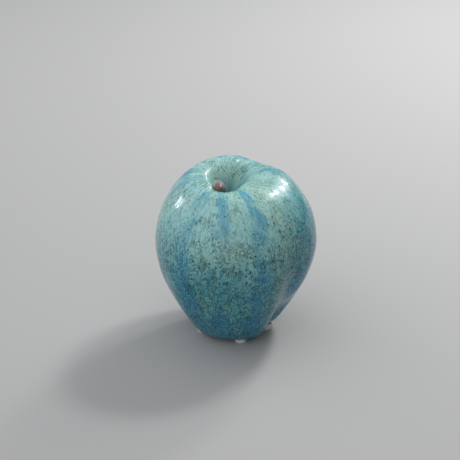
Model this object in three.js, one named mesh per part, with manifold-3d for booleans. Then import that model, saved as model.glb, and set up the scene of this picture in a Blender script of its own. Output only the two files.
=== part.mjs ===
// A hollow ceramic apple with a stubby clay stem, standing on five small clear bumper feet.
// Millimetres, +Z up, the front of the apple facing -Y. Angles are degrees counter-clockwise from +X.
import * as THREE from 'three';
import { mergeVertices } from 'three/addons/utils/BufferGeometryUtils.js';
import Module from 'manifold-3d';

const wasm = await Module();
wasm.setup();

// Half outline of the skin as [radius, height]: from the vent under the calyx, out over the base
// ring, up the side, over the shoulder and down into the stem pit.
const VENT_RADIUS = 1.6;
const OUTLINE = [
  [VENT_RADIUS, 8.7], [6, 7.8], [11.5, 5.2], [15.6, 2.9], [18.6, 2.1], [21.6, 3.6], [26.2, 9.8],
  [31.5, 20], [37.2, 34], [39.9, 47.3], [38.2, 61], [33, 71.6], [26.8, 78.6], [20.2, 82],
  [13.4, 81.4], [8.8, 77.2], [5.7, 71], [3, 66], [0, 64.4],
];
const WALL = 4;

// Waves round the apple: how far each stands out of the skin at the base, side, crown and pit.
const LOBES = [
  { angle: 8, base: -0.2, side: 1, crown: 0.6, pit: 0.8, width: 24 },
  { angle: 98, base: 0, side: 0, crown: 1.5, pit: 0.5, width: 28 },
  { angle: 158, base: 0, side: 0, crown: 0.6, pit: 0, width: 24 },
  { angle: 222, base: 0, side: 0.8, crown: 0.1, pit: 0, width: 24 },
  { angle: 294, base: 0.3, side: 0.3, crown: 0.2, pit: 0.3, width: 24 },
  { angle: 326, base: 0, side: 0, crown: 0, pit: 2.2, width: 22 },
  { angle: 198, base: 0, side: 0, crown: 0, pit: 2.4, width: 28 },
];
const GROOVES = [
  { angle: 58, base: -3, side: -1, crown: -1.1, pit: -2.4, width: 12 },
  { angle: 128, base: -2.4, side: -0.8, crown: -0.2, pit: -0.3, width: 13 },
  { angle: 188, base: -1.4, side: -0.9, crown: -0.8, pit: -0.2, width: 13 },
  { angle: 258, base: -0.8, side: -0.3, crown: -0.8, pit: -0.3, width: 12 },
  { angle: 319, base: 0, side: -3.2, crown: 0, pit: 0, width: 10 },
  { angle: 331, base: -5.6, side: 0, crown: 0, pit: 0, width: 10 },
  { angle: 235, base: -0.3, side: -0.6, crown: -1, pit: -0.2, width: 7.5 },
  { angle: 18, base: -1.2, side: -0.4, crown: -0.15, pit: 0, width: 6.5 },
  { angle: 346, base: -1.4, side: -0.4, crown: -0.15, pit: 0, width: 6.5 },
];
const FLUTES = [74, 104, 146, 168, 208, 285].map((angle) => (
  { angle, base: -0.3, side: -0.4, crown: -0.35, pit: 0, width: 7 }
));
const WAVES = [...LOBES, ...GROOVES, ...FLUTES];

// Where each wave is strongest along the outline, and how far it spreads, both 0 at the vent to 1 in the pit.
const BASE_SPAN = { at: 0.2, spread: 0.1 };
const SIDE_SPAN = { at: 0.42, spread: 0.2 };
const CROWN_SPAN = { at: 0.76, spread: 0.13 };
const PIT_SPAN = { at: 0.875, spread: 0.045 };

// The crown sits a little to the right and higher at the back left; the pit is off centre to the left.
const CROWN_SHIFT = 1;
const CROWN_RISE = { x: -0.01, y: 0.085 };
const PIT_SHIFT = { x: -4, y: 0.5 };

const AROUND = 64;
const OUTER_ROWS = 38;
const INNER_ROWS = 12;

// The stem's axis, from inside the floor of the pit to the tip that lies over the pit's front rim, and
// its radius at even steps along that axis.
const STEM_AXIS = [[-3.2, 1.4, 61], [-4.2, 2, 68], [-6, 0.8, 75.4], [-7.6, -4.5, 79.5], [-6.7, -12.4, 81.6]];
const STEM_RADII = [2.1, 2.1, 2.1, 2.15, 2.2, 2.3, 2.45, 2.6, 2.75, 2.85, 2.9, 2.85, 2.6, 2, 1];
const STEM_SIDES = 20;
const FEET = { angles: [80, 140, 202, 282, 347], circle: 16.8, radius: 3, edge: 0.4, height: 3.4, sides: 24 };
const GAP = 0.3;

const COLOURS = {
  glaze: { color: 0x5d8f94, roughness: 0.18, metalness: 0 },
  stem: { color: 0x64524c, roughness: 0.45, metalness: 0 },
  clearRubber: { color: 0xdfe6e6, roughness: 0.15, metalness: 0, transparent: true, opacity: 0.45 },
};

const outline = new THREE.SplineCurve(OUTLINE.map(([radius, height]) => new THREE.Vector2(radius, height)));
const bell = (along, { at, spread }) => Math.exp(-(((along - at) / spread) ** 2));

// Height of the waves above the plain outline, fading out at the vent and inside the pit.
function relief(along, angle) {
  const fade = THREE.MathUtils.smoothstep(along, 0, 0.07) * (1 - THREE.MathUtils.smoothstep(along, 0.9, 0.99));
  const [base, side, crown, pit] = [BASE_SPAN, SIDE_SPAN, CROWN_SPAN, PIT_SPAN].map((span) => bell(along, span));
  let height = 0;
  for (const wave of WAVES) {
    const width = THREE.MathUtils.degToRad(wave.width);
    const turn = Math.cos(angle - THREE.MathUtils.degToRad(wave.angle)) - 1;
    const lift = wave.base * base + wave.side * side + wave.crown * crown + wave.pit * pit;
    height += lift * Math.exp(turn / width ** 2);
  }
  return height * fade;
}

// A point of the skin, or `depth` below it, at a share of the outline's length and an angle.
function skinPoint(along, angle, depth = 0) {
  const point = outline.getPointAt(along);
  const tangent = outline.getTangentAt(along);
  const lift = relief(along, angle) * (1 - 0.4 * Math.max(depth, 0) / WALL) - depth;
  const radius = point.x + tangent.y * lift;
  const height = point.y - tangent.x * lift;
  const x = radius * Math.cos(angle);
  const y = radius * Math.sin(angle);
  const crown = THREE.MathUtils.smoothstep(height, 25, 85);
  const pit = THREE.MathUtils.smoothstep(along, 0.7, 0.9);
  return new THREE.Vector3(
    x + CROWN_SHIFT * crown + PIT_SHIFT.x * pit,
    y + PIT_SHIFT.y * pit,
    height + (CROWN_RISE.x * x + CROWN_RISE.y * y) * crown,
  );
}

function ring(along, depth) {
  return Array.from({ length: AROUND }, (_, i) => skinPoint(along, 2 * Math.PI * i / AROUND, depth));
}

// Joins rings of equal length into one closed surface; a fan to its centre closes the first and last ring.
function closedSurface(rings) {
  const around = rings[0].length;
  const middle = (points) => points.reduce((sum, p) => sum.add(p), new THREE.Vector3()).divideScalar(points.length);
  const points = [...rings.flat(), middle(rings[0]), middle(rings.at(-1))];
  const index = [];
  const first = points.length - 2;
  const last = points.length - 1;
  const lastRing = (rings.length - 1) * around;
  for (let i = 0; i < around; i += 1) {
    const next = (i + 1) % around;
    index.push(first, next, i, last, lastRing + i, lastRing + next);
    for (let row = 0; row < rings.length - 1; row += 1) {
      const below = row * around;
      const above = below + around;
      index.push(below + i, below + next, above + next, below + i, above + next, above + i);
    }
  }
  const geometry = new THREE.BufferGeometry().setFromPoints(points);
  geometry.setIndex(index);
  geometry.computeVertexNormals();
  return geometry;
}

// Shares of the outline's length for a number of rows, stopping one step short of the pit's middle.
const steps = (rows) => Array.from({ length: rows }, (_, row) => row / rows);

// The wall: its inner face runs from the pit down to the vent, its outer face from the vent back up.
function hollowBody() {
  const inside = steps(INNER_ROWS).reverse().map((along) => ring(along, WALL));
  const outside = steps(OUTER_ROWS).map((along) => ring(along, 0));
  return closedSurface([...inside, ...outside]);
}

function solid(geometry) {
  const plain = geometry.clone();
  plain.deleteAttribute('normal');
  plain.deleteAttribute('uv');
  const merged = mergeVertices(plain, 1e-5);
  const mesh = new wasm.Mesh({
    numProp: 3,
    vertProperties: new Float32Array(merged.attributes.position.array),
    triVerts: new Uint32Array(merged.index.array),
  });
  return new wasm.Manifold(mesh);
}

function geometryOf(manifold) {
  const { vertProperties, triVerts } = manifold.getMesh();
  const geometry = new THREE.BufferGeometry();
  geometry.setAttribute('position', new THREE.BufferAttribute(vertProperties, 3));
  geometry.setIndex(new THREE.BufferAttribute(triVerts, 1));
  geometry.computeVertexNormals();
  return geometry;
}

// What a piece that touches the apple is cut to: the whole apple, grown by the gap.
const grownApple = solid(closedSurface(steps(OUTER_ROWS).map((along) => ring(along, -GAP))));

// A bent stub of clay that thickens to a rounded tip.
function stem() {
  const axis = new THREE.CatmullRomCurve3(STEM_AXIS.map((point) => new THREE.Vector3(...point)));
  const last = STEM_RADII.length - 1;
  const { normals, binormals } = axis.computeFrenetFrames(last);
  const rings = STEM_RADII.map((radius, step) => Array.from({ length: STEM_SIDES }, (_, side) => {
    const turn = 2 * Math.PI * side / STEM_SIDES;
    return axis.getPointAt(step / last)
      .addScaledVector(normals[step], radius * Math.cos(turn))
      .addScaledVector(binormals[step], radius * Math.sin(turn));
  }));
  return geometryOf(solid(closedSurface(rings)).subtract(grownApple));
}

// A round bumper, flat below, with its top pressed to the shape of the base.
function bumper(angle) {
  const { radius, edge, height } = FEET;
  const profile = [[0, 0], [radius - edge, 0], [radius, edge], [radius, height], [0, height]];
  const geometry = new THREE.LatheGeometry(profile.map(([r, z]) => new THREE.Vector2(r, z)), FEET.sides);
  geometry.rotateX(Math.PI / 2);
  const turn = THREE.MathUtils.degToRad(angle);
  geometry.translate(FEET.circle * Math.cos(turn), FEET.circle * Math.sin(turn), 0);
  const pieces = solid(geometry).subtract(grownApple).decompose();
  return geometryOf(pieces.reduce((low, piece) => (piece.boundingBox().min[2] < low.boundingBox().min[2] ? piece : low)));
}

function mesh(name, geometry, colours) {
  const piece = new THREE.Mesh(geometry, new THREE.MeshStandardMaterial(colours));
  piece.name = name;
  return piece;
}

const apple = new THREE.Group();
apple.add(mesh('body', hollowBody(), COLOURS.glaze));
apple.add(mesh('stem', stem(), COLOURS.stem));
FEET.angles.forEach((angle, i) => apple.add(mesh(`foot_${i + 1}`, bumper(angle), COLOURS.clearRubber)));

// The origin is on the ground under the middle of the apple's box.
const middle = new THREE.Box3().setFromObject(apple).getCenter(new THREE.Vector3());
apple.position.set(-middle.x, -middle.y, 0);

export default apple;
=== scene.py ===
import math

import bpy
from bpy.props import FloatProperty, FloatVectorProperty, IntProperty, PointerProperty
from mathutils import Matrix, Vector, noise
from mathutils.bvhtree import BVHTree


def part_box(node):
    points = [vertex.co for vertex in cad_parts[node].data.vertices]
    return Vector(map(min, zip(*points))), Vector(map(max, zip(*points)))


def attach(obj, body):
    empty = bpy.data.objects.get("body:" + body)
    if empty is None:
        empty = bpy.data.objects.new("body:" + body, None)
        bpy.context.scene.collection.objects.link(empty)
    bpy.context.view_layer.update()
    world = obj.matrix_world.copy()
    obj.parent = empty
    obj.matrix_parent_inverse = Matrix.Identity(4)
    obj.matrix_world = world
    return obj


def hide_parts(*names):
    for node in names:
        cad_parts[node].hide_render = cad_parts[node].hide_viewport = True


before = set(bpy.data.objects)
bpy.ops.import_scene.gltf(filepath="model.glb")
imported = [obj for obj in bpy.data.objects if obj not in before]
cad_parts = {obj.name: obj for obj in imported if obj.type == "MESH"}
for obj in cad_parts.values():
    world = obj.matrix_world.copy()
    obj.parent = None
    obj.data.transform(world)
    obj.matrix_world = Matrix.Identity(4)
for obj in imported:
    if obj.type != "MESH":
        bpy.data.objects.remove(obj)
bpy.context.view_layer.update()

bl_info = {
    "name": "Ceramic Apple",
    "version": (1, 0, 0),
    "blender": (4, 5, 0),
    "location": "View3D > Sidebar > Apple",
    "description": "Builds a glazed ceramic apple round its packed frame",
    "category": "Object",
}

MM = 0.001

# The apple's half outline in millimetres as (radius, height), from the vent to the middle of the pit.
OUTLINE = [
    (1.6, 8.7), (6, 7.8), (11.5, 5.2), (15.6, 2.9), (18.6, 2.1), (21.6, 3.6), (26.2, 9.8),
    (31.5, 20), (37.2, 34), (39.9, 47.3), (38.2, 61), (33, 71.6), (26.8, 78.6), (20.2, 82),
    (13.4, 81.4), (8.8, 77.2), (5.7, 71), (3, 66), (0, 64.4),
]

# Waves round the apple: angle in degrees, height in millimetres at the base, side, crown and pit, and
# width in degrees.
LOBES = [
    (8, -0.2, 1, 0.6, 0.8, 24), (98, 0, 0, 1.5, 0.5, 28), (158, 0, 0, 0.6, 0, 24),
    (222, 0, 0.8, 0.1, 0, 24), (294, 0.3, 0.3, 0.2, 0.3, 24), (326, 0, 0, 0, 2.2, 22),
    (198, 0, 0, 0, 2.4, 28),
]
GROOVES = [
    (58, -3, -1, -1.1, -2.4, 12), (128, -2.4, -0.8, -0.2, -0.3, 13), (188, -1.4, -0.9, -0.8, -0.2, 13),
    (258, -0.8, -0.3, -0.8, -0.3, 12), (319, 0, -3.2, 0, 0, 10), (331, -5.6, 0, 0, 0, 10),
    (235, -0.3, -0.6, -1, -0.2, 7.5), (18, -1.2, -0.4, -0.15, 0, 6.5), (346, -1.4, -0.4, -0.15, 0, 6.5),
]
FLUTES = [(angle, -0.3, -0.4, -0.35, 0, 7) for angle in (74, 104, 146, 168, 208, 285)]

# Where along the outline a wave's four heights hold, and how far each spreads.
SPANS = [(0.2, 0.1), (0.42, 0.2), (0.76, 0.13), (0.875, 0.045)]
# The waves fade out over these shares of the outline, at the vent and inside the pit.
VENT_FADE = (0.0, 0.07)
PIT_FADE = (0.9, 0.99)
# How much lower the waves are on the wall's inner face.
INNER_LOSS = 0.4
# Heights in millimetres between which the crown's shift sets in, and the pit's, in shares of the outline.
CROWN_HEIGHTS = (25, 85)
PIT_SHARES = (0.7, 0.9)
# The skin's unevenness and the pools' wander are noise over the angle and the outline's share.
NOISE_STRETCH = 3.4
UNEVEN_SCALE = 3.2
WANDER_SCALE = 4.5
WANDER = 0.32

# Where the glaze pools blue: angle, strength at the base, side, crown and pit, width in degrees.
POOLS = [
    (204, 0.9, 0.7, 0.6, 0, 7), (230, 1.6, 1.3, 0.6, 0, 7), (257, 2.3, 0.15, 1, 0, 7),
    (289, 1.8, 1, 1, 0.4, 6), (328, 1.4, 0.7, 0.1, 0, 7), (346, 1.3, 1.1, 0.5, 0, 9),
    (22, 0.8, 0.6, 0.9, 0.1, 7), (54, 0.9, 0.7, 0.6, 0.4, 6), (79, 0.6, 0.8, 0.8, 0, 7),
    (106, 0.9, 0.6, 0.6, 0, 6), (134, 0.7, 0.9, 0.6, 0.1, 7), (160, 0.9, 0.7, 0.9, 0.1, 6),
    (182, 0.6, 0.6, 0.8, 0.3, 6),
]

# The stem's axis and its radii at even steps along it, and the ring of feet, in millimetres.
STEM_AXIS = [(-3.2, 1.4, 61), (-4.2, 2, 68), (-6, 0.8, 75.4), (-7.6, -4.5, 79.5), (-6.7, -12.4, 81.6)]
STEM_RADII = [2.1, 2.1, 2.1, 2.15, 2.2, 2.3, 2.45, 2.6, 2.75, 2.85, 2.9, 2.85, 2.6, 2, 1]
# The swells of the rolled clay, broad and fine: scale of their noise per millimetre, and height.
BROAD_SWELL = (0.35, 0.22)
FINE_SWELL = (1.3, 0.08)
# The axis's direction at a point is taken between this share of its length before and after.
STEM_STEP = 0.01
FEET_ANGLES = {"foot_1": 80, "foot_2": 140, "foot_3": 202, "foot_4": 282, "foot_5": 347}
FEET_CIRCLE = 16.8
FOOT_RADIUS = 3
FOOT_HEIGHT = 3.3
FOOT_GAP = 0.15
FOOT_SIDES = 64
# A foot's profile as radius, height above the ground and depth below its top; None where one doesn't count.
FOOT_PROFILE = [
    (1.2, 0, None), (2.45, 0, None), (2.72, 0.06, None), (2.9, 0.22, None), (FOOT_RADIUS, 0.5, None),
    (FOOT_RADIUS, None, 0.55), (2.92, None, 0.25), (2.75, None, 0.08), (2.45, None, 0), (1.2, None, 0),
]


class Value:
    """One output of a node. Arithmetic on it adds Math nodes."""

    def __init__(self, nodes, socket):
        self.nodes = nodes
        self.socket = socket

    def output(self, name):
        """Another output of the same node."""
        return Value(self.nodes, self.socket.node.outputs[name])

    def __add__(self, other):
        return self.nodes.math("ADD", self, other)

    def __radd__(self, other):
        return self.nodes.math("ADD", other, self)

    def __sub__(self, other):
        return self.nodes.math("SUBTRACT", self, other)

    def __rsub__(self, other):
        return self.nodes.math("SUBTRACT", other, self)

    def __mul__(self, other):
        return self.nodes.math("MULTIPLY", self, other)

    def __rmul__(self, other):
        return self.nodes.math("MULTIPLY", other, self)

    def __truediv__(self, other):
        return self.nodes.math("DIVIDE", self, other)

    def __pow__(self, other):
        return self.nodes.math("POWER", self, other)

    def __neg__(self):
        return self.nodes.math("MULTIPLY", self, -1)


class Nodes:
    """Fills one node tree, of a material or of Geometry Nodes."""

    def __init__(self, tree):
        self.tree = tree

    def add(self, kind, settings=None, inputs=None, output=0):
        """Adds a node: its settings first, then the values or links of its sockets."""
        node = self.tree.nodes.new(kind)
        for name, value in (settings or {}).items():
            setattr(node, name, value)
        for name, value in (inputs or {}).items():
            socket = self.find(node.inputs, name)
            if isinstance(value, Value):
                self.tree.links.new(value.socket, socket)
            else:
                socket.default_value = value
        return Value(self, self.find(node.outputs, output)) if node.outputs else None

    @staticmethod
    def find(sockets, name):
        if isinstance(name, int):
            return sockets[name]
        return next(s for s in sockets if s.enabled and name in (s.identifier, s.name))

    def math(self, operation, *values):
        return self.add("ShaderNodeMath", {"operation": operation}, dict(enumerate(values)))

    def vector(self, x=0.0, y=0.0, z=0.0):
        return self.add("ShaderNodeCombineXYZ", None, {"X": x, "Y": y, "Z": z})

    def parts(self, vector):
        split = self.add("ShaderNodeSeparateXYZ", None, {"Vector": vector})
        return split, split.output("Y"), split.output("Z")

    def stretch(self, vector, scale, offset=(0, 0, 0)):
        """A vector times one scale for each axis, plus an offset."""
        settings = {"operation": "MULTIPLY_ADD"}
        return self.add("ShaderNodeVectorMath", settings, {0: vector, 1: scale, 2: offset})

    def ramp(self, value, low, high, bottom=0.0, top=1.0):
        """Rises smoothly from bottom to top as value goes from low to high."""
        settings = {"interpolation_type": "SMOOTHSTEP"}
        inputs = {"Value": value, "From Min": low, "From Max": high, "To Min": bottom, "To Max": top}
        return self.add("ShaderNodeMapRange", settings, inputs)

    def mix(self, factor, a, b):
        """Blends two colours."""
        inputs = {"Factor_Float": factor, "A_Color": a, "B_Color": b}
        return self.add("ShaderNodeMix", {"data_type": "RGBA"}, inputs, "Result_Color")

    def noise(self, vector, scale=1.0, detail=2.0, rough=0.5, bend=0.0):
        inputs = {"Vector": vector, "Scale": scale, "Detail": detail, "Roughness": rough, "Distortion": bend}
        return self.add("ShaderNodeTexNoise", None, inputs)


def rgba(colour):
    return (*colour, 1.0)


def new_material(name):
    """An empty material, and the Nodes that fill its tree."""
    material = bpy.data.materials.new(name)
    material.use_nodes = True
    material.node_tree.nodes.clear()
    return material, Nodes(material.node_tree)


def finish_material(nodes, inputs):
    """Closes a material with one Principled shader."""
    shader = nodes.add("ShaderNodeBsdfPrincipled", None, inputs)
    nodes.add("ShaderNodeOutputMaterial", None, {"Surface": shader})


def wave_height(nodes, angle, along, waves):
    """Sum of the waves' heights at an angle in radians and a share of the outline's length."""
    spans = [nodes.math("EXPONENT", -(((along - at) / spread) ** 2)) for at, spread in SPANS]
    total = 0.0
    for degrees, *heights, width in waves:
        turn = nodes.math("COSINE", angle - math.radians(degrees)) - 1.0
        bump = nodes.math("EXPONENT", turn / math.radians(width) ** 2)
        height = sum((span * h for span, h in zip(spans, heights) if h), 0.0)
        total = total + bump * height
    return total


def skin_tree():
    """Geometry Nodes that wrap a tube round the outline: in over the hollow's wall, out over the skin."""
    tree = bpy.data.node_groups.new("apple skin", "GeometryNodeTree")
    tree.interface.new_socket("Geometry", in_out="OUTPUT", socket_type="NodeSocketGeometry")
    tree.interface.new_socket("Outline", in_out="INPUT", socket_type="NodeSocketGeometry")
    for name in ("Around", "Skin Rows", "Wall Rows"):
        tree.interface.new_socket(name, in_out="INPUT", socket_type="NodeSocketInt")
    for name in ("Wall", "Uneven", "Crown Shift", "Rise X", "Rise Y", "Pit Shift X", "Pit Shift Y"):
        tree.interface.new_socket(name, in_out="INPUT", socket_type="NodeSocketFloat")
    tree.interface.new_socket("Material", in_out="INPUT", socket_type="NodeSocketMaterial")

    nodes = Nodes(tree)
    given = nodes.add("NodeGroupInput")
    rows = given.output("Skin Rows") + given.output("Wall Rows")
    tube = nodes.add("GeometryNodeMeshCylinder", {"fill_type": "NONE"}, {
        "Vertices": given.output("Around"), "Side Segments": rows - 1, "Radius": 1.0, "Depth": 1.0,
    })
    x, y, z = nodes.parts(nodes.add("GeometryNodeInputPosition"))
    angle = nodes.math("ARCTAN2", y, x)
    row = nodes.math("ROUND", (z + 0.5) * (rows - 1))
    skin_row = row - given.output("Wall Rows")
    outside = nodes.math("GREATER_THAN", skin_row, -0.5)
    along_skin = skin_row / (given.output("Skin Rows") - 1)
    along_wall = 1 - row / (given.output("Wall Rows") - 1)
    along = along_skin * outside + along_wall * (1 - outside)
    depth = given.output("Wall") * (1 - outside)

    curve = nodes.add("GeometryNodeMeshToCurve", None, {"Mesh": given.output("Outline")})
    curve = nodes.add("GeometryNodeCurveSplineType", {"spline_type": "CATMULL_ROM"}, {"Curve": curve})
    curve = nodes.add("GeometryNodeSetSplineResolution", None, {"Geometry": curve, "Resolution": 32})
    sampled = {"Curves": curve, "Factor": along}
    sample = nodes.add("GeometryNodeSampleCurve", {"mode": "FACTOR"}, sampled, "Position")
    radius, _, height = nodes.parts(sample)
    slope_out, _, slope_up = nodes.parts(sample.output("Tangent"))

    fade = nodes.ramp(along, *VENT_FADE) * nodes.ramp(along, *PIT_FADE, 1.0, 0.0)
    relief = wave_height(nodes, angle, along, LOBES + GROOVES + FLUTES) * fade
    cosine, sine = nodes.math("COSINE", angle), nodes.math("SINE", angle)
    round_place = nodes.vector(cosine, sine, along * NOISE_STRETCH)
    uneven = nodes.noise(round_place, UNEVEN_SCALE, 2.0, 0.5) - 0.5
    relief = relief + uneven * fade * given.output("Uneven") * outside
    lift = relief * MM * (1 - INNER_LOSS * (1 - outside)) - depth
    wander = nodes.noise(round_place, WANDER_SCALE, 2.0, 0.55) - 0.5
    pools = wave_height(nodes, angle + wander * WANDER, along, POOLS)
    radius = radius + slope_up * lift
    height = height - slope_out * lift
    side_x = radius * cosine
    side_y = radius * sine
    crown = nodes.ramp(height, *(level * MM for level in CROWN_HEIGHTS))
    pit = nodes.ramp(along, *PIT_SHARES)
    place = nodes.vector(
        side_x + crown * given.output("Crown Shift") + pit * given.output("Pit Shift X"),
        side_y + pit * given.output("Pit Shift Y"),
        height + (side_x * given.output("Rise X") + side_y * given.output("Rise Y")) * crown,
    )

    flow = nodes.vector(cosine, sine, along)
    shape = tube
    for name, data_type, value in (("flow", "FLOAT_VECTOR", flow), ("pools", "FLOAT", pools)):
        settings = {"data_type": data_type, "domain": "POINT"}
        inputs = {"Geometry": shape, "Name": name, "Value": value}
        shape = nodes.add("GeometryNodeStoreNamedAttribute", settings, inputs)
    shape = nodes.add("GeometryNodeSetPosition", None, {"Geometry": shape, "Position": place})
    shape = nodes.add("GeometryNodeMergeByDistance", None, {"Geometry": shape, "Distance": 0.01 * MM})
    shape = nodes.add("GeometryNodeSetShadeSmooth", None, {"Geometry": shape})
    shape = nodes.add("GeometryNodeRealizeInstances", None, {"Geometry": shape})
    glaze = given.output("Material")
    shape = nodes.add("GeometryNodeSetMaterial", None, {"Geometry": shape, "Material": glaze})
    nodes.add("NodeGroupOutput", None, {"Geometry": shape})
    return tree


def apply_tree(carrier, tree, values):
    """Runs a Geometry Nodes tree on an object and returns the result as a plain mesh."""
    modifier = carrier.modifiers.new(tree.name, "NODES")
    modifier.node_group = tree
    for item in tree.interface.items_tree:
        if item.item_type == "SOCKET" and item.in_out == "INPUT" and item.name in values:
            modifier[item.identifier] = values[item.name]
    evaluated = carrier.evaluated_get(bpy.context.evaluated_depsgraph_get())
    mesh = bpy.data.meshes.new_from_object(evaluated)
    carrier.modifiers.remove(modifier)
    return mesh


def new_object(name, mesh):
    obj = bpy.data.objects.new(name, mesh)
    bpy.context.scene.collection.objects.link(obj)
    return obj


def middle_of(low, high):
    return (Vector(low) + Vector(high)) / 2


class AppleSizes(bpy.types.PropertyGroup):
    """Sizes of the apple's fine skin."""
    around: IntProperty(name="Around", description="Points round the skin", default=320, min=48)
    skin_rows: IntProperty(
        name="Skin rows", description="Rows from the vent to the pit", default=250, min=40)
    wall_rows: IntProperty(
        name="Wall rows", description="Rows over the wall of the hollow", default=24, min=8)
    stem_rows: IntProperty(name="Stem rows", description="Rings along the stem", default=90, min=12)
    stem_sides: IntProperty(name="Stem sides", description="Points round the stem", default=56, min=12)
    wall: FloatProperty(
        name="Wall", description="Thickness of the clay", default=4 * MM, subtype="DISTANCE")
    uneven: FloatProperty(
        name="Uneven", description="Swing of the hand-worked skin in millimetres", default=0.5)
    crown_shift: FloatProperty(
        name="Crown shift", description="How far the crown sits to the right", default=1 * MM,
        subtype="DISTANCE")
    rise_x: FloatProperty(
        name="Rise to the right", description="Rise of the crown for each unit along X", default=-0.01)
    rise_y: FloatProperty(
        name="Rise to the back", description="Rise of the crown for each unit along Y", default=0.085)
    pit_x: FloatProperty(
        name="Pit to the right", description="Shift of the stem pit along X", default=-4 * MM,
        subtype="DISTANCE")
    pit_y: FloatProperty(
        name="Pit to the back", description="Shift of the stem pit along Y", default=0.5 * MM,
        subtype="DISTANCE")


class AppleColours(bpy.types.PropertyGroup):
    """Colours of the glaze, the stem and the feet."""
    pale: FloatVectorProperty(
        name="Celadon", description="Glaze of the shoulders", default=(0.345, 0.625, 0.605),
        subtype="COLOR")
    cream: FloatVectorProperty(
        name="Cream", description="Thin glaze on the ridges", default=(0.38, 0.56, 0.45), subtype="COLOR")
    sky: FloatVectorProperty(
        name="Sky blue", description="Pooled glaze of the shoulders", default=(0.10, 0.36, 0.48),
        subtype="COLOR")
    deep_green: FloatVectorProperty(
        name="Deep green", description="Glaze of the lower half", default=(0.09, 0.32, 0.37),
        subtype="COLOR")
    deep_blue: FloatVectorProperty(
        name="Deep blue", description="Pooled glaze of the lower half", default=(0.038, 0.245, 0.38),
        subtype="COLOR")
    sage: FloatVectorProperty(
        name="Sage", description="Light mottles of the lower half", default=(0.15, 0.38, 0.35),
        subtype="COLOR")
    olive: FloatVectorProperty(
        name="Olive", description="Patches where the glaze is thinnest", default=(0.17, 0.32, 0.24),
        subtype="COLOR")
    fleck: FloatVectorProperty(
        name="Fleck", description="Mottles of the shoulders", default=(0.035, 0.185, 0.21), subtype="COLOR")
    dark: FloatVectorProperty(
        name="Dark fleck", description="Mottles below and pinholes", default=(0.006, 0.063, 0.085),
        subtype="COLOR")
    stem: FloatVectorProperty(
        name="Stem", description="Brown stained clay", default=(0.17, 0.108, 0.09), subtype="COLOR")
    stem_stain: FloatVectorProperty(
        name="Stem stain", description="Dark stain in the stem's clay", default=(0.04, 0.022, 0.02),
        subtype="COLOR")
    film: FloatVectorProperty(
        name="Stem film", description="Thin glaze over the stem", default=(0.36, 0.35, 0.36),
        subtype="COLOR")
    foot: FloatVectorProperty(
        name="Foot", description="Clear soft plastic", default=(0.9, 0.94, 0.94), subtype="COLOR")


class CeramicApple(bpy.types.PropertyGroup):
    """Everything that a user would change."""
    sizes: PointerProperty(type=AppleSizes)
    colours: PointerProperty(type=AppleColours)


def object_millimetres(nodes):
    """The point's own place on the object, in millimetres."""
    return nodes.stretch(nodes.add("ShaderNodeTexCoord", None, None, "Object"), (1000, 1000, 1000))


def dots(nodes, place, per_mm, radius, share):
    """Round spots of up to a radius in millimetres, in a share of cells that are 1 / per_mm wide."""
    grid = {"Vector": place, "Scale": per_mm}
    cells = nodes.add("ShaderNodeTexVoronoi", {"feature": "F1"}, grid, "Distance")
    chosen = nodes.math("LESS_THAN", nodes.parts(cells.output("Color"))[0], share)
    return nodes.ramp(cells, radius * per_mm, radius * per_mm * 0.55) * chosen


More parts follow.
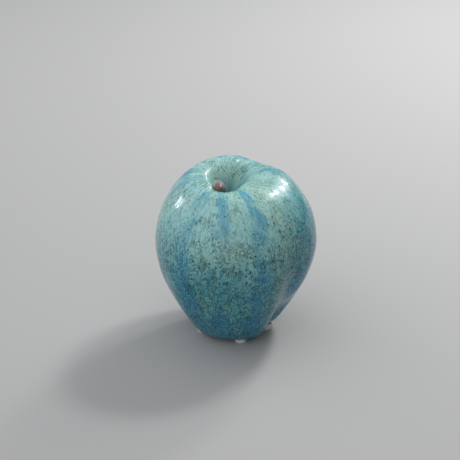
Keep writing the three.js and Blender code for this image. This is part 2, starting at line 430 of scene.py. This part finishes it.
def glaze_material(colours):
    """A running blue-green glaze: pale above, deep below, blue where it pools, flecked and pinholed."""
    material, nodes = new_material("glaze")
    flow = nodes.add("ShaderNodeAttribute", {"attribute_name": "flow"}, None, "Vector")
    pools = nodes.add("ShaderNodeAttribute", {"attribute_name": "pools"}, None, "Fac")
    towards_right, _, along = nodes.parts(flow)
    place = object_millimetres(nodes)
    height = nodes.parts(place)[2]
    dark = rgba(colours.dark)

    # Noises that swing round zero, from wide to fine. Those on flow run down the skin.
    clouds = nodes.noise(place, 0.07, 3.0, 0.6) - 0.5
    patches = nodes.noise(nodes.stretch(place, (1, 1, 0.8), (31, 7, 0)), 0.17, 3.0, 0.6) - 0.5
    runs = nodes.noise(nodes.stretch(flow, (17, 17, 14)), 1.0, 4.0, 0.65) - 0.5
    mottles = nodes.noise(nodes.stretch(flow, (19, 19, 42), (7, 3, 1)), 1.0, 4.0, 0.66, 1.0) - 0.5
    lights = nodes.noise(nodes.stretch(flow, (9, 9, 13), (1, 9, 4)), 1.0, 3.0, 0.56, 0.6) - 0.5
    winding = nodes.noise(nodes.stretch(flow, (12, 12, 25), (2, 6, 4)), 1.0, 3.0, 0.6, 1.4) - 0.5
    grain = nodes.noise(place, 1.5, 3.0, 0.6) - 0.5

    # Where the glaze has turned deep, where it pools, where it lies thin, and the bands of sage and flecks.
    right = nodes.ramp(towards_right, 0.5, 1.0)
    low = nodes.ramp(height - right * 20 + clouds * 30 + runs * 26 + mottles * 40, 70, 38)
    pooled = nodes.ramp(pools + runs * 1.2 + patches * 1.1 + mottles * 1.2, 0.25, 0.95)
    hollow = nodes.ramp(along, 0.74, 0.86)
    thin = nodes.ramp(patches + clouds - pools * 0.35 + runs * 0.5, -0.14, 0.12)
    thin = nodes.math("MAXIMUM", thin, hollow * 0.8)
    sage_band = nodes.ramp(height + clouds * 20 + mottles * 30, 76, 54) * (1 - pooled)
    below = nodes.ramp(height - right * 8 + clouds * 16, 75, 50)

    # The ground: pale above and deep below, each with its blue.
    upper = nodes.mix(thin * 0.85, rgba(colours.pale), rgba(colours.cream))
    upper = nodes.mix(pooled * 0.87, upper, rgba(colours.sky))
    lower = nodes.mix(pooled, rgba(colours.deep_green), rgba(colours.deep_blue))
    colour = nodes.mix(low, upper, lower)
    colour = nodes.mix(sage_band * (1 - low) * 0.35, colour, rgba(colours.sage))

    # Light mottles, olive patches and dark flecks.
    bright = nodes.ramp(lights + patches * 0.4, 0.0, 0.12) * (1 - pooled * 0.6)
    light_colour = nodes.mix(low, rgba(colours.pale), rgba(colours.sage))
    colour = nodes.mix(bright * (0.35 + low * 0.45), colour, light_colour)
    olive = nodes.ramp(patches - pools * 0.25 + lights * 0.6, 0.03, 0.18)
    colour = nodes.mix(olive * (0.3 - low * 0.15), colour, rgba(colours.olive))
    fleck_colour = nodes.mix(below * 0.6 + low * 0.4, rgba(colours.fleck), dark)
    fleck = nodes.ramp(mottles + below * 0.03 + clouds * 0.1 + patches * 0.1, 0.03, 0.13)
    colour = nodes.mix(fleck * (0.4 + below * 0.2), colour, fleck_colour)

    # Winding veins, dashes along the flow, round specks, pinholes and pale sparks.
    veins = nodes.ramp(nodes.math("ABSOLUTE", winding), 0.06, 0.012)
    veins = veins * nodes.ramp(clouds + patches * 1.3 + runs * 0.6 + below * 0.25, -0.3, 0.3, 0.5, 0.95)
    colour = nodes.mix(veins * (0.55 + below * 0.25 - pooled * 0.15), colour, fleck_colour)
    dashes = dots(nodes, nodes.stretch(flow, (22, 22, 56), (3, 5, 8)), 1.0, 0.42, 0.3)
    dashes = dashes * nodes.ramp(clouds + patches + below * 0.15, -0.28, 0.2)
    colour = nodes.mix(dashes * (0.65 + hollow * 0.2 + below * 0.15 - pooled * 0.2), colour, dark)
    specks = dots(nodes, place, 0.6, 0.42, 0.35) * nodes.ramp(clouds + low * 0.1, -0.15, 0.1)
    colour = nodes.mix(specks * 0.75, colour, fleck_colour)
    pinholes = dots(nodes, nodes.stretch(place, (1, 1, 1), (4, 40, 9)), 0.42, 0.5, 0.55)
    colour = nodes.mix(pinholes * 0.9, colour, dark)
    sparks = dots(nodes, nodes.stretch(place, (1, 1, 1), (15, 2, 70)), 0.9, 0.4, 0.45)
    colour = nodes.mix(sparks * 0.5, colour, nodes.mix(low, rgba(colours.cream), rgba(colours.pale)))

    # Painted shade: the colour darkens towards the pit's floor, first to deep green and then to the dark
    # fleck colour, for the shade inside the pit. Its rim is less glossy.
    colour = nodes.mix(nodes.ramp(along, 0.86, 0.95) * 0.55, colour, rgba(colours.deep_green))
    colour = nodes.mix(nodes.ramp(along, 0.9, 0.97) * 0.45, colour, dark)
    rim = nodes.ramp(along, 0.72, 0.8)

    bumps = runs * 0.5 + mottles * 0.2 + grain * 0.15 - pinholes * 0.7 - specks * 0.2
    normal = nodes.add("ShaderNodeBump", None, {"Strength": 0.5, "Distance": 0.3 * MM, "Height": bumps})
    finish_material(nodes, {
        "Base Color": colour, "Roughness": nodes.ramp(grain, -0.2, 0.2, 0.22, 0.36), "Normal": normal,
        "Specular IOR Level": 0.15, "Coat Weight": 0.75 - low * 0.3 - rim * 0.58, "Coat Roughness": 0.1,
        "Coat IOR": 1.38,
    })
    return material


def stem_material(colours):
    """Brown stained clay under a thin, uneven glaze that thickens towards the pit."""
    material, nodes = new_material("stem_clay")
    place = object_millimetres(nodes)
    _, y, _ = nodes.parts(place)
    blotches = nodes.noise(place, 0.35, 4.0, 0.6) - 0.5
    grain = nodes.noise(place, 2.0, 4.0, 0.65) - 0.5
    film = nodes.ramp(y + blotches * 6, -11.5, -6.5)
    stain = nodes.ramp(grain + blotches, -0.15, 0.2) * 0.6
    colour = nodes.mix(stain, rgba(colours.stem), rgba(colours.stem_stain))
    colour = nodes.mix(film * 0.75, colour, rgba(colours.film))
    bumps = grain * 0.6 + blotches
    normal = nodes.add("ShaderNodeBump", None, {"Strength": 0.6, "Distance": 0.3 * MM, "Height": bumps})
    finish_material(nodes, {
        "Base Color": colour, "Roughness": nodes.ramp(film, 0.0, 1.0, 0.5, 0.28), "Normal": normal,
        "Coat Weight": 0.3 + film * 0.6, "Coat Roughness": 0.1,
    })
    return material


def foot_material(colours):
    """Clear soft plastic, a little milky."""
    material, nodes = new_material("clear_rubber")
    haze = nodes.noise(object_millimetres(nodes), 0.8, 2.0, 0.5)
    normal = nodes.add("ShaderNodeBump", None, {"Strength": 0.2, "Distance": 0.1 * MM, "Height": haze})
    finish_material(nodes, {
        "Base Color": rgba(colours.foot), "Roughness": nodes.ramp(haze, 0.3, 0.7, 0.1, 0.24),
        "Normal": normal, "Transmission Weight": 0.35, "IOR": 1.46, "Coat Weight": 1.0,
    })
    return material


def foot_centre(name):
    """Middle of a foot's underside in the outline's own frame, in metres."""
    turn = math.radians(FEET_ANGLES[name])
    return Vector((math.cos(turn), math.sin(turn), 0)) * FEET_CIRCLE * MM


def frame_shift():
    """From the outline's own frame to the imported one."""
    middle = middle_of(*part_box("foot_1"))
    return Vector((middle.x, middle.y, 0)) - foot_centre("foot_1")


def rings_mesh(name, rings, material):
    """A closed mesh over rings of equal length; each end is closed by a fan to its ring's middle."""
    around = len(rings[0])
    points = [point for ring in rings for point in ring]
    ends = [sum(ring, Vector()) / around for ring in (rings[0], rings[-1])]
    first, last = len(points), len(points) + 1
    top = (len(rings) - 1) * around
    faces = []
    for i in range(around):
        after = (i + 1) % around
        faces += [(first, after, i), (last, top + i, top + after)]
        for row in range(len(rings) - 1):
            below, above = row * around, (row + 1) * around
            faces.append((below + i, below + after, above + after, above + i))
    mesh = bpy.data.meshes.new(name)
    mesh.from_pydata([tuple(p) for p in points + ends], [], faces)
    mesh.shade_smooth()
    mesh.materials.append(material)
    return mesh


def spline_at(points, share):
    """Catmull-Rom point of a list of vectors at a share from 0 to 1."""
    spans = len(points) - 1
    place = min(share * spans, spans - 1e-6)
    i = int(place)
    t = place - i
    a, b, c, d = (points[min(max(i + k, 0), spans)] for k in (-1, 0, 1, 2))
    straight = 2 * b + (c - a) * t
    bend = (2 * a - 5 * b + 4 * c - d) * t * t
    return 0.5 * (straight + bend + (3 * b - a - 3 * c + d) * t ** 3)


class APPLE_OT_body(bpy.types.Operator):
    """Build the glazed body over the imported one"""
    bl_idname = "apple.body"
    bl_label = "Glazed body"

    def execute(self, context):
        settings = context.scene.ceramic_apple
        sizes = settings.sizes
        outline = bpy.data.meshes.new("outline")
        points = [(radius * MM, 0, height * MM) for radius, height in OUTLINE]
        outline.from_pydata(points, [(i, i + 1) for i in range(len(points) - 1)], [])
        carrier = new_object("outline", outline)
        mesh = apply_tree(carrier, skin_tree(), {
            "Around": sizes.around, "Skin Rows": sizes.skin_rows, "Wall Rows": sizes.wall_rows,
            "Wall": sizes.wall, "Uneven": sizes.uneven, "Crown Shift": sizes.crown_shift,
            "Rise X": sizes.rise_x, "Rise Y": sizes.rise_y, "Pit Shift X": sizes.pit_x,
            "Pit Shift Y": sizes.pit_y, "Material": glaze_material(settings.colours),
        })
        bpy.data.objects.remove(carrier)
        mesh.transform(Matrix.Translation(frame_shift()))
        body = new_object("glazed_body", mesh)
        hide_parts("body")
        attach(body, "root")
        return {"FINISHED"}


class APPLE_OT_stem(bpy.types.Operator):
    """Build the clay stem"""
    bl_idname = "apple.stem"
    bl_label = "Clay stem"

    def execute(self, context):
        sizes = context.scene.ceramic_apple.sizes
        rows, sides = sizes.stem_rows, sizes.stem_sides
        shift = frame_shift()
        axis = [Vector(point) for point in STEM_AXIS]
        radii = [Vector((radius, 0, 0)) for radius in STEM_RADII]
        broad_scale, broad_height = BROAD_SWELL
        fine_scale, fine_height = FINE_SWELL
        across = Vector((1, 0, 0))
        rings = []
        for row in range(rows):
            share = row / (rows - 1)
            middle = spline_at(axis, share)
            ahead = spline_at(axis, min(share + STEM_STEP, 1))
            behind = spline_at(axis, max(share - STEM_STEP, 0))
            along = (ahead - behind).normalized()
            across = (across - along * across.dot(along)).normalized()
            other = along.cross(across)
            radius = spline_at(radii, share).x
            ring = []
            for side in range(sides):
                turn = 2 * math.pi * side / sides
                out = across * math.cos(turn) + other * math.sin(turn)
                point = middle + out * radius
                broad = noise.fractal(point * broad_scale, 1.0, 2.0, 3) * broad_height
                fine = noise.noise(point * fine_scale) * fine_height
                ring.append((point + out * (broad + fine)) * MM + shift)
            rings.append(ring)
        clay = stem_material(context.scene.ceramic_apple.colours)
        stem = new_object("clay_stem", rings_mesh("clay_stem", rings, clay))
        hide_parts("stem")
        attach(stem, "root")
        return {"FINISHED"}


class APPLE_OT_feet(bpy.types.Operator):
    """Build the clear stick-on feet, pressed to the base"""
    bl_idname = "apple.feet"
    bl_label = "Clear feet"

    def execute(self, context):
        clear = foot_material(context.scene.ceramic_apple.colours)
        body = bpy.data.objects["glazed_body"].data
        skin = BVHTree.FromPolygons([v.co for v in body.vertices], [p.vertices for p in body.polygons])
        up = Vector((0, 0, 1))
        shift = frame_shift()
        for name in FEET_ANGLES:
            centre = foot_centre(name) + shift
            rings = []
            for radius, rise, drop in FOOT_PROFILE:
                ring = []
                for side in range(FOOT_SIDES):
                    turn = 2 * math.pi * side / FOOT_SIDES
                    point = centre + Vector((math.cos(turn), math.sin(turn), 0)) * radius * MM
                    if rise is None:
                        hit = skin.ray_cast(point, up)[0]
                        top = min(FOOT_HEIGHT * MM, hit.z - FOOT_GAP * MM) if hit else FOOT_HEIGHT * MM
                        point.z = top - drop * MM
                    else:
                        point.z = rise * MM
                    ring.append(point)
                rings.append(ring)
            foot = new_object("clear_" + name, rings_mesh("clear_" + name, rings, clear))
            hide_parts(name)
            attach(foot, "root")
        return {"FINISHED"}


FOCAL_LENGTH = 97
CAMERA_DISTANCE = 0.62
CAMERA_RISE = math.radians(27)
LOOKED_AT = Vector((-0.001, 0, 0.04))
FRAME_CENTRE = Vector((-0.003, 0.0057, 0.0511))

FLOOR_HALF = 3.0
FLOOR_COLOUR = (0.41, 0.405, 0.40)

# Lights: name, azimuth and height in degrees, distance, width and length in metres, watts.
LIGHTS = [
    ("window", 47, 47, 1.0, 0.15, 0.11, 3.4),
    ("window_side", 57, 31, 1.0, 0.13, 0.11, 2.0),
    ("window_glow", 52, 40, 1.0, 0.5, 0.45, 2.2),
    ("left_window", 145, 18, 1.0, 0.06, 0.13, 0.35),
    ("overhead", 70, 72, 1.2, 1.2, 1.2, 0.8),
]
# The soft light from all round: azimuth and height of its bright side in degrees, darkest and brightest.
SOFT_LIGHT = (205, 42, 0.06, 1.06)
SOFT_COLOUR = (0.94, 0.97, 1.0)
# It is darkest where the cosine of the angle to its bright side is this low.
SOFT_EDGE = -0.3


def direction(azimuth, elevation):
    """Unit vector at an azimuth counter-clockwise from +X and an elevation, both in degrees."""
    turn, rise = math.radians(azimuth), math.radians(elevation)
    return Vector((math.cos(turn) * math.cos(rise), math.sin(turn) * math.cos(rise), math.sin(rise)))


def aim(obj, place, target):
    obj.location = place
    obj.rotation_euler = (target - place).to_track_quat("-Z", "Y").to_euler()


class APPLE_OT_stage(bpy.types.Operator):
    """Add the floor, the lights and the camera"""
    bl_idname = "apple.stage"
    bl_label = "Studio"

    def execute(self, context):
        scene = context.scene
        floor_mesh = bpy.data.meshes.new("floor")
        corners = [(x * FLOOR_HALF, y * FLOOR_HALF, 0) for x, y in ((-1, -1), (1, -1), (1, 1), (-1, 1))]
        floor_mesh.from_pydata(corners, [], [(0, 1, 2, 3)])
        floor = new_object("floor", floor_mesh)
        material, nodes = new_material("pale_floor")
        finish_material(nodes, {"Base Color": rgba(FLOOR_COLOUR), "Roughness": 0.9})
        floor_mesh.materials.append(material)

        for name, azimuth, elevation, distance, width, length, watts in LIGHTS:
            data = bpy.data.lights.new(name, "AREA")
            data.shape = "RECTANGLE"
            data.size, data.size_y = width, length
            data.energy = watts
            lamp = bpy.data.objects.new(name, data)
            scene.collection.objects.link(lamp)
            aim(lamp, LOOKED_AT + direction(azimuth, elevation) * distance, LOOKED_AT)

        azimuth, elevation, darkest, brightest = SOFT_LIGHT
        scene.world = bpy.data.worlds.new("soft studio")
        scene.world.use_nodes = True
        background = scene.world.node_tree.nodes["Background"]
        background.inputs["Color"].default_value = rgba(SOFT_COLOUR)
        nodes = Nodes(scene.world.node_tree)
        looking = nodes.add("ShaderNodeTexCoord", None, None, "Generated")
        towards = nodes.add("ShaderNodeVectorMath", {"operation": "DOT_PRODUCT"}, {
            0: looking, 1: direction(azimuth, elevation),
        }, "Value")
        glow = nodes.ramp(towards, SOFT_EDGE, 1.0, darkest, brightest)
        scene.world.node_tree.links.new(glow.socket, background.inputs["Strength"])

        camera_data = bpy.data.cameras.new("camera")
        camera_data.lens = FOCAL_LENGTH
        camera = bpy.data.objects.new("camera", camera_data)
        scene.collection.objects.link(camera)
        aim(camera, LOOKED_AT + direction(270, math.degrees(CAMERA_RISE)) * CAMERA_DISTANCE, FRAME_CENTRE)
        scene.camera = camera
        scene.view_settings.view_transform = "Standard"
        return {"FINISHED"}


class APPLE_PT_panel(bpy.types.Panel):
    """Lists the apple's settings and its steps"""
    bl_label = "Ceramic Apple"
    bl_idname = "APPLE_PT_panel"
    bl_space_type = "VIEW_3D"
    bl_region_type = "UI"
    bl_category = "Apple"

    def draw(self, context):
        settings = context.scene.ceramic_apple
        for group in (settings.sizes, settings.colours):
            for name in group.bl_rna.properties.keys():
                if name not in ("rna_type", "name"):
                    self.layout.prop(group, name)
        for operator in OPERATORS:
            self.layout.operator(operator.bl_idname)


OPERATORS = (APPLE_OT_stage, APPLE_OT_body, APPLE_OT_stem, APPLE_OT_feet)
CLASSES = (AppleSizes, AppleColours, CeramicApple, *OPERATORS, APPLE_PT_panel)


def register():
    for cls in CLASSES:
        bpy.utils.register_class(cls)
    bpy.types.Scene.ceramic_apple = PointerProperty(type=CeramicApple)


def unregister():
    del bpy.types.Scene.ceramic_apple
    for cls in reversed(CLASSES):
        bpy.utils.unregister_class(cls)


def main():
    register()
    bpy.ops.apple.stage()
    bpy.ops.apple.body()
    bpy.ops.apple.stem()
    bpy.ops.apple.feet()


if __name__ == "__main__":
    main()
